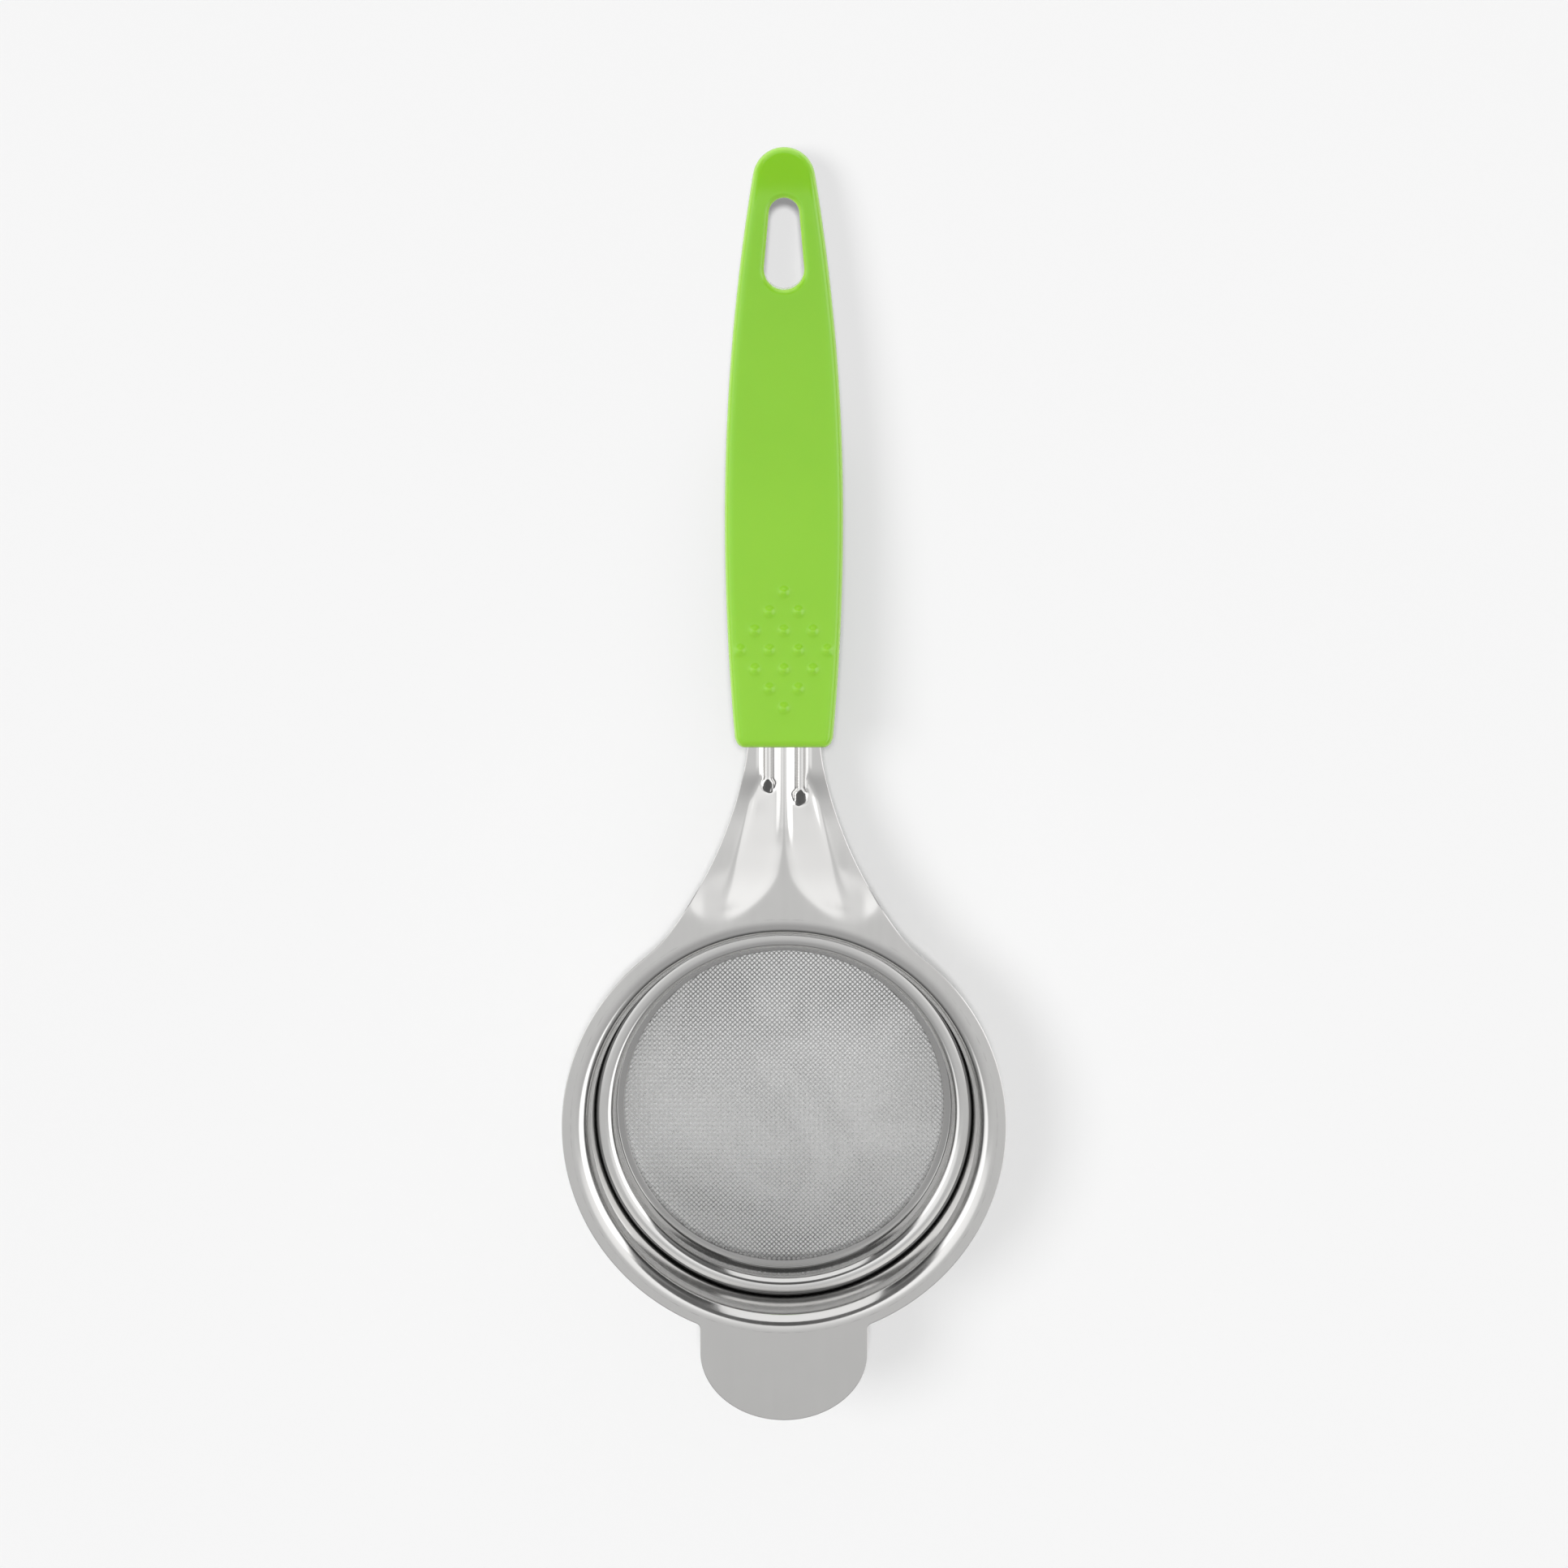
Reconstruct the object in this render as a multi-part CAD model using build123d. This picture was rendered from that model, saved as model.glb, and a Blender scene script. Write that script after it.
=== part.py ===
from build123d import *
import math
import os

# Flour sifter: a long-handled sieve with a wide rim, a shallow stepped cup and a flat mesh floor.
# Millimetres. +Z is up, out of the cup; +Y points along the handle.
# Origin: on the cup's axis, in the plane of the rim's underside, where the sieve seats on a bowl.

# ---- driving dimensions ------------------------------------------------------------------------
# rim pressing: one steel sheet with the rim, rest tab, neck, tang and upper cup wall
rim_diameter = 80.0
rim_sheet = 0.8
rim_bend = 2.2              # inside radius of the bend from the rim into the cup
rim_width = 5.0             # from the cup's mouth to the rim's edge
cup_flat = 0.6              # flat part of the rim that is drawn with the cup's section
upper_cup_draft = 0.6       # how much the upper wall closes in towards the ledge
ledge_depth = 8.9           # from the rim's top face to the sieve ring's ledge
seat_gap = 0.1              # from where the sieve ring starts to bend down, out to the seat's inner edge
seat_corner = 0.5

# rest tab, opposite the handle
tab_width = 30.5
tab_length = 15.1           # from the rim's edge to the tab's end
tab_end_rise = 13.0         # length of the tab's elliptical end
tab_corner = 1.0            # fillet between the tab and the rim

# neck and tang
neck_width = 12.9           # at the handle
neck_length = 29.9          # from the rim's edge to the handle
neck_spread = 41.5          # degrees from the handle's line at which its flare meets the rim
neck_slope = 0.08           # how fast the flare widens where it leaves the handle
neck_flare = [              # shares of the flare's length and of its spread, from the handle on
    (0.308, 0.135),
    (0.543, 0.324),
    (0.776, 0.594),
    (0.924, 0.828),
]
neck_overlap = 6.0          # how far the neck's plan runs in under the rim's
tang_length = 52.0          # hidden in the handle
tang_hole_radius = 2.5
tang_hole_inset = 8.0       # from the tang's end

# two grooves pressed into the neck, opening into shallow valleys towards the bowl
groove_offset = 3.05        # from the centre line
groove_floor = 1.2
groove_mouth = 2.9
groove_depth = 1.5
groove_straight = 5.5       # from the handle to where a groove begins to open
valley_run = [              # distance from the handle, shift outwards, floor, mouth, depth
    (9.5, 0.7, 1.6, 4.8, 1.4),
    (14.0, 1.6, 2.4, 6.4, 1.2),
    (20.0, 3.5, 3.4, 7.6, 1.0),
    (25.0, 5.6, 4.0, 7.8, 0.85),
    (29.0, 8.0, 3.6, 6.4, 0.6),
    (32.5, 9.8, 2.6, 3.6, 0.2),
]
fold_growth = 0.45          # how much wider the underside of a fold is, on each side

# sieve ring: a drawn ring with the ledge, the lower cup wall and a lip over the mesh
ring_sheet = 0.5
ledge_width = 3.0
ledge_gap = 0.1             # between the ledge's edge and the corner of its seat
ledge_bend = 1.5            # inside radius of the bend from the ledge into the lower wall
mesh_depth = 15.3           # from the rim's top face to the underside of the ring's lip
lip_width = 1.4
lip_bend = 0.3              # inside radius of the bend from the lower wall into the lip

# woven wire floor
wire_diameter = 0.2
wire_pitch = 0.635
wire_gap = 0.02             # between the layers of wire, and between the wires and what clamps them
mesh_edge_gap = 0.45        # between the wires' ends and the band's wall
mesh_turn = 45.0            # angle between the wires and the handle

# band: pressed over the lower cup wall from below, to clamp the mesh under the ring's lip
band_sheet = 0.5
band_clearance = 0.05
band_bend = 0.4
band_drop = 0.6             # from the seat's underside to the band's top edge
band_lip_inset = 0.1        # how far the band's lip stops short of the ring's lip

# handle
handle_length = 103.8
handle_width = 20.6
handle_widest = 39.5        # front end to the widest place
front_side_radius = 430.0
back_side_radius = 360.0
handle_top = 5.0
handle_tip_top = 3.2
handle_tip_fall = 13.0      # length over which the top falls towards the tip
profile_overrun = 2.0       # how far the side view runs past the handle's ends
handle_front_bottom = -5.0
handle_mid_bottom = -6.2
handle_tip_bottom = -3.8
top_edge_radius = 2.2
bottom_edge_radius = 2.2
front_corner_radius = 2.3
pocket_clearance = 0.1      # around the tang
peg_clearance = 0.1         # between the tang's hole and the peg moulded through it

# hanging slot, tapered
slot_start = 79.7           # handle's front end to the slot's wide end
slot_length = 15.5
slot_wide_radius = 3.45
slot_narrow_radius = 2.6
slot_edge_radius = 1.1

# grip dots in a diamond
dot_rows = 7
dot_spacing_across = 5.08
dot_spacing_along = 3.4
dots_start = 17.4           # handle's front end to the diamond's middle row
dot_radius = 1.05
dot_height = 0.4

# for cutting and picking
cut_reach = 15.0            # half the height of a shape that cuts right through the handle
overrun = 1.0               # how far a cutting shape runs past what it cuts
tolerance = 0.01            # for telling an edge by its place
level = 0.5                 # an edge that climbs less than this lies flat

# ---- values worked out from them ---------------------------------------------------------------
rim_radius = rim_diameter / 2
upper_cup_radius = rim_radius - rim_width                       # inside the cup at its mouth
mouth_flat = upper_cup_radius + rim_sheet + rim_bend + cup_flat     # where the flat plate begins
tab_reach = rim_radius + tab_length
handle_start = rim_radius + neck_length
ledge_z = rim_sheet - ledge_depth
seat_z = ledge_z - ring_sheet
seat_corner_radius = upper_cup_radius - upper_cup_draft         # inside the cup at the seat
ledge_outer_radius = seat_corner_radius - seat_corner - ledge_gap
lower_cup_radius = ledge_outer_radius - ledge_width
seat_inner_radius = lower_cup_radius + ring_sheet + ledge_bend + seat_gap
lip_z = rim_sheet - mesh_depth
lip_inner_radius = lower_cup_radius - lip_width
warp_z = lip_z - wire_gap - wire_diameter / 2
weft_z = warp_z - wire_diameter - wire_gap
band_lip_z = weft_z - wire_diameter / 2 - wire_gap
band_inner_radius = lower_cup_radius + ring_sheet + band_clearance
mesh_radius = band_inner_radius - mesh_edge_gap
band_top_z = seat_z - rim_sheet - band_drop
handle_end = handle_start + handle_length
widest_y = handle_start + handle_widest
tang_end = handle_start + tang_length
slot_end = handle_start + slot_start + slot_length


def pressed_ring(points, radii, thickness):
    """A ring of even sheet, from the (radius, height) corners of its upper face, outside first."""
    upper = FilletPolyline(*points, radius=radii)
    section = offset(upper, amount=thickness, side=Side.LEFT, closed=True)
    face = make_face(section)
    return revolve(Plane.XZ * face, axis=Axis.Z)


def neck_outline():
    """Half of the neck flares in one curve from the handle to the rim."""
    half = neck_width / 2
    spread = math.radians(neck_spread)
    meeting = (rim_radius * math.sin(spread), rim_radius * math.cos(spread))
    start = (half, handle_start)
    between = [
        (half + across * (meeting[0] - half), handle_start - along * (handle_start - meeting[1]))
        for along, across in neck_flare
    ]
    slopes = [(neck_slope, -1.0), (math.cos(spread), -math.sin(spread))]
    flare = Spline(start, *between, meeting, tangents=slopes)
    inside = (0, rim_radius - neck_overlap)
    closing = Polyline(meeting, inside, (0, tang_end), (half, tang_end), start)
    right = make_face([flare, closing])
    return right + mirror(right, about=Plane.YZ)


def tab_outline():
    straight = tab_reach - tab_end_rise
    end = Pos(0, -straight) * Ellipse(tab_width / 2, tab_end_rise)
    return end + Pos(0, -straight / 2) * Rectangle(tab_width, straight)


def sheet_outline():
    """Plan of the rim pressing, with the corners where the tab meets the rim rounded."""
    outline = Circle(rim_radius) + neck_outline() + tab_outline()
    corners = outline.vertices().filter_by(
        lambda v: v.Y < 0 and abs(math.hypot(v.X, v.Y) - rim_radius) < tolerance
    )
    return fillet(corners, tab_corner) - Circle(mouth_flat)


def trough(stations, grow, drop, lift):
    """Solid through four-sided sections: (y, centre x, floor width, mouth width, depth) each."""
    sections = []
    for y, centre, floor, mouth, depth in stations:
        slope = (mouth - floor) / 2 / depth
        top = mouth / 2 + grow + slope * lift
        low = floor / 2 + grow
        floor_z = rim_sheet - depth - drop
        top_z = rim_sheet + lift - drop
        corners = [
            (centre - top, top_z),
            (centre - low, floor_z),
            (centre + low, floor_z),
            (centre + top, top_z),
        ]
        plane = Plane(origin=(0, y, 0), x_dir=(1, 0, 0), z_dir=(0, -1, 0))
        sections.append(plane * make_face(Polyline(*corners, close=True)))
    return loft(sections, ruled=True)


def groove(grow, drop, lift, start, end):
    """The straight groove of one side, between two distances from the cup axis."""
    section = (groove_offset, groove_floor, groove_mouth, groove_depth)
    return trough([(start, *section), (end, *section)], grow, drop, lift)


def valley(grow, drop, lift):
    """The groove's opening into a shallow valley that runs out near the bowl."""
    first = (handle_start - groove_straight, groove_offset, groove_floor, groove_mouth)
    rest = [
        (handle_start - along, groove_offset + shift, floor, mouth, depth)
        for along, shift, floor, mouth, depth in valley_run
    ]
    return trough([(*first, groove_depth), *rest], grow, drop, lift)


def fold(grow, drop, lift, end):
    """Groove and valley of the right-hand side in one solid."""
    straight = groove(grow, drop, lift, handle_start - groove_straight, end)
    return straight + valley(grow, drop, lift)


def rim_frame():
    """Rim, rest tab, neck, tang, upper cup wall and the seat for the sieve ring."""
    plate = extrude(sheet_outline(), rim_sheet)
    cup = pressed_ring(
        [
            (mouth_flat, rim_sheet),
            (upper_cup_radius, rim_sheet),
            (seat_corner_radius, seat_z),
            (seat_inner_radius, seat_z),
        ],
        [rim_sheet + rim_bend, seat_corner],
        rim_sheet,
    )
    under = fold(fold_growth, rim_sheet, rim_sheet / 2, tang_end)
    hollow = fold(0, 0, overrun, tang_end + overrun)
    hole = Pos(0, tang_end - tang_hole_inset, 0) * Cylinder(tang_hole_radius, 2 * cut_reach)
    body = plate + under + mirror(under, about=Plane.YZ)
    body = body - hollow - mirror(hollow, about=Plane.YZ) - hole
    return body + cup


def sieve_ring():
    """Ledge, lower cup wall and the lip that lies over the mesh."""
    return pressed_ring(
        [
            (ledge_outer_radius, ledge_z),
            (lower_cup_radius, ledge_z),
            (lower_cup_radius, lip_z + ring_sheet),
            (lip_inner_radius, lip_z + ring_sheet),
        ],
        [ring_sheet + ledge_bend, lip_bend],
        ring_sheet,
    )


def mesh_band():
    """Outer band that clamps the mesh and is the foot the sieve stands on."""
    return pressed_ring(
        [
            (band_inner_radius, band_top_z),
            (band_inner_radius, band_lip_z),
            (lip_inner_radius + band_lip_inset, band_lip_z),
        ],
        [band_bend],
        band_sheet,
    )


def wires(height, turn):
    """One layer of the woven floor: parallel wires, each cut to the disc."""
    count = int(mesh_radius / wire_pitch)
    layer = []
    for number in range(-count, count + 1):
        across = number * wire_pitch
        length = 2 * math.sqrt(mesh_radius**2 - across**2)
        wire = Rot(0, 90, 0) * Cylinder(wire_diameter / 2, length)
        layer.append(Rot(0, 0, turn) * Pos(0, across, height) * wire)
    return Compound(children=layer)


def side_point(y):
    """Point of the handle's right-hand edge at a distance y from the cup axis."""
    radius = back_side_radius if y > widest_y else front_side_radius
    return (handle_width / 2 - radius + math.sqrt(radius**2 - (y - widest_y) ** 2), y)


def handle_outline():
    """Plan: two long arcs on each side, with a nose that is tangent to both sides."""
    reach = handle_end - widest_y
    centre = handle_width / 2 - back_side_radius
    nose = (back_side_radius**2 - centre**2 - reach**2) / (2 * (back_side_radius - reach))
    away = back_side_radius - nose
    shoulder = (
        centre - centre * back_side_radius / away,
        widest_y + (reach - nose) * back_side_radius / away,
    )
    front = side_point(handle_start)
    edge = [
        ThreePointArc(front, side_point((handle_start + widest_y) / 2), side_point(widest_y)),
        ThreePointArc(side_point(widest_y), side_point((widest_y + shoulder[1]) / 2), shoulder),
    ]
    tip = ThreePointArc(shoulder, (0, handle_end), (-shoulder[0], shoulder[1]))
    left = [mirror(line, about=Plane.YZ) for line in edge]
    outline = make_face([*edge, tip, *left, Line(front, (-front[0], front[1]))])
    corners = outline.vertices().filter_by(lambda v: abs(v.Y - handle_start) < tolerance)
    return fillet(corners, front_corner_radius)


def handle_profile():
    """Side view, run past both ends of the plan: a top that falls at the tip, and a belly."""
    before = handle_start - profile_overrun
    beyond = handle_end + profile_overrun
    fall = handle_end - handle_tip_fall
    drop = (handle_top - handle_tip_top) * ((beyond - fall) / handle_tip_fall) ** 2
    bend = ThreePointArc(
        (fall, handle_top),
        ((fall + beyond) / 2, handle_top - drop / 4),
        (beyond, handle_top - drop),
    )
    belly = ThreePointArc(
        (before, handle_front_bottom),
        (widest_y, handle_mid_bottom),
        (beyond, handle_tip_bottom),
    )
    rest = [
        Line((before, handle_front_bottom), (before, handle_top)),
        Line((before, handle_top), (fall, handle_top)),
        Line((beyond, handle_top - drop), (beyond, handle_tip_bottom)),
    ]
    return make_face([bend, belly, *rest])


def hanging_slot():
    """Tapered slot through the handle, wide end towards the bowl."""
    wide = handle_start + slot_start + slot_wide_radius
    narrow = slot_end - slot_narrow_radius
    circles = [
        Pos(0, wide) * Circle(slot_wide_radius),
        Pos(0, narrow) * Circle(slot_narrow_radius),
    ]
    hull = make_hull([edge for circle in circles for edge in circle.edges()])
    return Pos(0, 0, -cut_reach) * extrude(hull, 2 * cut_reach)


def grip_dots():
    """Domes in a diamond: one more in each row up to the middle one, then one fewer."""
    ball = (dot_radius**2 + dot_height**2) / (2 * dot_height)
    middle = dot_rows // 2
    dots = []
    for row in range(-middle, middle + 1):
        count = middle + 1 - abs(row)
        for number in range(count):
            across = (number - (count - 1) / 2) * dot_spacing_across
            along = handle_start + dots_start + row * dot_spacing_along
            dots.append(Pos(across, along, handle_top + dot_height - ball) * Sphere(ball))
    return dots


def tang_pocket():
    """Space for the tang and the undersides of its grooves, round the peg in its hole."""
    margin = pocket_clearance
    back = tang_end + margin
    length = back - handle_start + overrun
    strip = Pos(0, back - length / 2, rim_sheet / 2) * Box(
        neck_width + 2 * margin, length, rim_sheet + 2 * margin
    )
    under = groove(
        fold_growth + margin, rim_sheet + margin, rim_sheet / 2, handle_start - overrun, back
    )
    peg = Pos(0, tang_end - tang_hole_inset, 0) * Cylinder(
        tang_hole_radius - peg_clearance, 2 * cut_reach
    )
    return strip + under + mirror(under, about=Plane.YZ) - peg


def handle_blank():
    """Plan and side view crossed, with the long edges rounded above and below."""
    plan = Pos(0, 0, -cut_reach) * extrude(handle_outline(), 2 * cut_reach)
    side = extrude(Plane.YZ * handle_profile(), handle_width, both=True)
    blank = plan & side
    around = blank.edges().filter_by(lambda e: lies_flat(e) and not is_seam(e))
    blank = fillet(around.filter_by(lambda e: e.center().Z > 0), top_edge_radius)
    lower = blank.edges().filter_by(
        lambda e: e.center().Z < handle_tip_bottom / 2 and lies_flat(e)
    )
    return fillet(lower, bottom_edge_radius)


def lies_flat(edge):
    return abs(edge.tangent_at(0.5).Z) < level


def is_seam(edge):
    """True for the straight edge across the top, where it begins to fall towards the tip."""
    return abs(edge.center().Y - (handle_end - handle_tip_fall)) < tolerance


def handle():
    """Moulded handle with the hanging slot, the grip dots and the pocket for the tang."""
    body = handle_blank() - hanging_slot()
    rims = body.edges().filter_by(
        lambda e: abs(e.center().X) < handle_width / 4
        and handle_start + slot_start - tolerance < e.center().Y < slot_end + tolerance
        and lies_flat(e)
        and not is_seam(e)
    )
    body = fillet(rims, slot_edge_radius)
    for dot in grip_dots():
        body = body + dot
    return body - tang_pocket()


os.makedirs("parts", exist_ok=True)
export_step(rim_frame(), "parts/rim_frame.step")
export_step(sieve_ring(), "parts/sieve_ring.step")
export_step(mesh_band(), "parts/mesh_band.step")
export_step(wires(warp_z, mesh_turn), "parts/warp_wires.step")
export_step(wires(weft_z, mesh_turn + 90), "parts/weft_wires.step")
export_step(handle(), "parts/handle.step")
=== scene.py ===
import math

import bmesh
import bpy
import numpy as np
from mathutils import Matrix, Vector
from mathutils.geometry import delaunay_2d_cdt


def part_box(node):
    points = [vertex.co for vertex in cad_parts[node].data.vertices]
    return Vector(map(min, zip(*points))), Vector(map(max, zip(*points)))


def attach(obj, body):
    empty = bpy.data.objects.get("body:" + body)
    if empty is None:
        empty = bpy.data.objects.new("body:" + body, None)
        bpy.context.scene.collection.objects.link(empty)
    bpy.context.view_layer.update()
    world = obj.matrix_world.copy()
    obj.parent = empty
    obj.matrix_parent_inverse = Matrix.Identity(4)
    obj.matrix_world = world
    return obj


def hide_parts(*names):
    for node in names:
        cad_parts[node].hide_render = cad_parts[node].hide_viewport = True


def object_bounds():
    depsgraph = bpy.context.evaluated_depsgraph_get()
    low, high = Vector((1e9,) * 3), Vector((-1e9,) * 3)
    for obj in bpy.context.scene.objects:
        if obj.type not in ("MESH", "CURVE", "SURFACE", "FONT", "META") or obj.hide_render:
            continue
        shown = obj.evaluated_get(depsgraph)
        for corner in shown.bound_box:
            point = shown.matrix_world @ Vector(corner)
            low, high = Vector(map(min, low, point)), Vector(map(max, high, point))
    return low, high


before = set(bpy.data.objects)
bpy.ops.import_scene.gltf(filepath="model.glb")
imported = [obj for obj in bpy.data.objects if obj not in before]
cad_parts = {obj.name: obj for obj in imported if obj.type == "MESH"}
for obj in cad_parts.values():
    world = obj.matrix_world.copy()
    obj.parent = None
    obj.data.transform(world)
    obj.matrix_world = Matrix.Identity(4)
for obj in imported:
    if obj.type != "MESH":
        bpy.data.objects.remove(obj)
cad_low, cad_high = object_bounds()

METRE = 1000               # millimetres in a metre
MM = 1 / METRE


def box_mm(node):
    """Lowest and highest corner of a CAD node, in millimetres."""
    low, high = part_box(node)
    return np.array(low) * METRE, np.array(high) * METRE


# ---- sizes, in millimetres ----------------------------------------------------------------------
rim_low, rim_high = box_mm("rim_frame")
ring_low, ring_high = box_mm("sieve_ring")
band_low, band_high = box_mm("mesh_band")
warp_top = box_mm("warp_wires")[1][2]
weft_bottom = box_mm("weft_wires")[0][2]
handle_low, handle_high = box_mm("handle")

# rim pressing
PLATE = 0.8                # its sheet; the plate's underside is at height zero
EDGE = 0.13                # rounding of its cut edges
RIM_RADIUS = rim_high[0]
TAB_HALF = 15.25           # half the rest tab's width
TAB_REACH = -rim_low[1]
TAB_RISE = 13.0            # length of the tab's elliptical end
TAB_CORNER = 1.0
NECK_HALF = 6.45           # half the neck's width at the handle
NECK_SPREAD = math.radians(41.5)
NECK_SLOPE = 0.08
NECK_FLARE = ((0.308, 0.135), (0.543, 0.324), (0.776, 0.594), (0.924, 0.828))
HANDLE_START = handle_low[1]
HANDLE_END = handle_high[1]
TANG_END = rim_high[1]
TANG_HALF = 6.3            # half the width over which the tang's plan is filled with points
TANG_HOLE = 2.5
TANG_HOLE_INSET = 8.0
MOUTH = 38.4               # where the flat plate ends and the bend into the cup begins
CUP_RADIUS = 35.0
CUP_BEND = 3.3
SEAT_CORNER = 34.4
SEAT_BEND = 0.5
SEAT_INNER = 32.9
SEAT_LEVEL = rim_low[2] + PLATE

# sieve ring and band
THIN = 0.5                 # their sheet
THIN_EDGE = 0.1            # rounding of its cut edges
LEDGE_OUTER = 33.8
LEDGE_LEVEL = ring_high[2]
LEDGE_BEND = 2.0
LOWER_CUP = 30.8
LIP_BEND = 0.3
LIP_INNER = 29.4
LIP_LEVEL = ring_low[2] + THIN
BAND_RADIUS = 31.35
BAND_TOP = band_high[2]
BAND_BEND = 0.4
BAND_INNER = 29.5
BAND_LEVEL = band_low[2] + THIN

CUP_PATH = [(MOUTH, PLATE), (CUP_RADIUS, PLATE), (SEAT_CORNER, SEAT_LEVEL), (SEAT_INNER, SEAT_LEVEL)]
RING_PATH = [
    (LEDGE_OUTER, LEDGE_LEVEL), (LOWER_CUP, LEDGE_LEVEL), (LOWER_CUP, LIP_LEVEL), (LIP_INNER, LIP_LEVEL),
]
BAND_PATH = [(BAND_RADIUS, BAND_TOP), (BAND_RADIUS, BAND_LEVEL), (BAND_INNER, BAND_LEVEL)]

# how finely things are drawn
SEGMENTS = 360             # round the cup
EDGE_STEPS = 4             # round a quarter of a sheet's cut edge
RIM_EDGE_STEPS = 3
HOLE_STEP = 7.5            # degrees
WELD = 1e-5                # points closer than this are one
BATCH = 2000               # points compared at a time


# ---- mesh building ------------------------------------------------------------------------------
class Builder:
    """Collects vertices and faces, then makes one smooth object of them."""

    def __init__(self):
        self.verts = []
        self.faces = []

    def add(self, points):
        """Adds vertices and returns their numbers."""
        start = len(self.verts)
        self.verts.extend(tuple(float(c) for c in p) for p in points)
        return list(range(start, len(self.verts)))

    def band(self, a, b):
        """Faces between two closed rings of vertices."""
        n = len(a)
        for i in range(n):
            j = (i + 1) % n
            self.faces.append((a[i], a[j], b[j], b[i]))

    def make(self, name, material, node, sharp=40.0):
        """One object that stands for a CAD node. Edges turned by more than sharp degrees stay crisp."""
        mesh = bpy.data.meshes.new(name)
        mesh.from_pydata([(x * MM, y * MM, z * MM) for x, y, z in self.verts], [], self.faces)
        work = bmesh.new()
        work.from_mesh(mesh)
        bmesh.ops.recalc_face_normals(work, faces=work.faces)
        work.to_mesh(mesh)
        work.free()
        mesh.shade_smooth()
        mesh.set_sharp_from_angle(angle=math.radians(sharp))
        mesh.materials.append(material)
        obj = bpy.data.objects.new(name, mesh)
        bpy.context.scene.collection.objects.link(obj)
        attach(obj, "root")
        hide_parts(node)
        return obj


def triangulate(loops, inner, points, keep):
    """Triangles over a plan. Loops bound it, inner loops are only kept as edges."""
    coords = []
    edges = []
    for loop in [*loops, *inner]:
        start = len(coords)
        n = len(loop)
        coords.extend(loop)
        edges.extend((start + i, start + (i + 1) % n) for i in range(n))
    coords.extend(points)
    found = delaunay_2d_cdt([Vector((float(x), float(y))) for x, y in coords], edges, [], 0, WELD)
    source = [ids[0] if ids else -1 for ids in found[3]]
    plan = np.array([(v.x, v.y) for v in found[0]])
    faces = np.array([f for f in found[2] if len(f) == 3])
    centre = plan[faces].mean(axis=1)
    faces = faces[keep(centre)]
    result = []
    for face in faces:
        ids = [source[i] for i in face]
        if min(ids) >= 0 and len(set(ids)) == 3:
            result.append(ids)
    return coords, result


def inside(loop, points):
    """Even-odd test of points against one closed loop."""
    loop = np.asarray(loop, float)
    after = np.roll(loop, -1, axis=0)
    odd = np.zeros(len(points), bool)
    px, py = points[:, 0], points[:, 1]
    for (x0, y0), (x1, y1) in zip(loop, after):
        if y0 == y1:
            continue
        hit = (y0 > py) != (y1 > py)
        odd ^= hit & (px < (x1 - x0) * (py - y0) / (y1 - y0) + x0)
    return odd


def far_from(loops, points, gap):
    """Mask of the points that stay clear of every loop's vertices by the gap."""
    good = np.ones(len(points), bool)
    for loop in loops:
        loop = np.asarray(loop, float)
        for k in range(0, len(points), BATCH):
            part = points[k:k + BATCH]
            d = ((part[:, None, :] - loop[None, :, :]) ** 2).sum(axis=2).min(axis=1)
            good[k:k + BATCH] &= d > gap * gap
    return good


def inset(loop, amount):
    """A counterclockwise loop moved inwards, with mitred corners."""
    p = np.asarray(loop, float)
    a = p - np.roll(p, 1, axis=0)
    b = np.roll(p, -1, axis=0) - p
    a /= np.linalg.norm(a, axis=1)[:, None]
    b /= np.linalg.norm(b, axis=1)[:, None]
    na = np.stack([-a[:, 1], a[:, 0]], axis=1)
    nb = np.stack([-b[:, 1], b[:, 0]], axis=1)
    n = na + nb
    n /= (n * n).sum(axis=1)[:, None] / 2
    return p + n * amount


def arc(centre, radius, start, end, count):
    """Points along an arc, from one angle to another in degrees."""
    t = np.radians(np.linspace(start, end, count))
    return [(centre[0] + radius * math.cos(a), centre[1] + radius * math.sin(a)) for a in t]


def spline(points, first, last, step):
    """Smooth curve through the points, with the slope given at both ends."""
    p = np.array(points, float)
    chord = np.linalg.norm(np.diff(p, axis=0), axis=1)
    n = len(p)
    m = np.zeros((n, n))
    r = np.zeros((n, 2))
    m[0, 0] = m[-1, -1] = 1
    r[0] = np.array(first) / np.linalg.norm(first)
    r[-1] = np.array(last) / np.linalg.norm(last)
    for i in range(1, n - 1):
        h0, h1 = chord[i - 1], chord[i]
        m[i, i - 1] = h1
        m[i, i] = 2 * (h0 + h1)
        m[i, i + 1] = h0
        r[i] = 3 * (h1 * (p[i] - p[i - 1]) / h0 + h0 * (p[i + 1] - p[i]) / h1)
    slope = np.linalg.solve(m, r)
    out = []
    for i in range(n - 1):
        h = chord[i]
        k = max(2, int(round(h / step)))
        for j in range(k):
            u = j / k
            out.append(tuple(
                (2 * u**3 - 3 * u**2 + 1) * p[i] + (u**3 - 2 * u**2 + u) * h * slope[i]
                + (-2 * u**3 + 3 * u**2) * p[i + 1] + (u**3 - u**2) * h * slope[i + 1]
            ))
    out.append(tuple(p[-1]))
    return out


def line(a, b, step):
    """Points along a straight line, without its last."""
    n = max(1, int(round(math.dist(a, b) / step)))
    return [(a[0] + (b[0] - a[0]) * i / n, a[1] + (b[1] - a[1]) * i / n) for i in range(n)]


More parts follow.
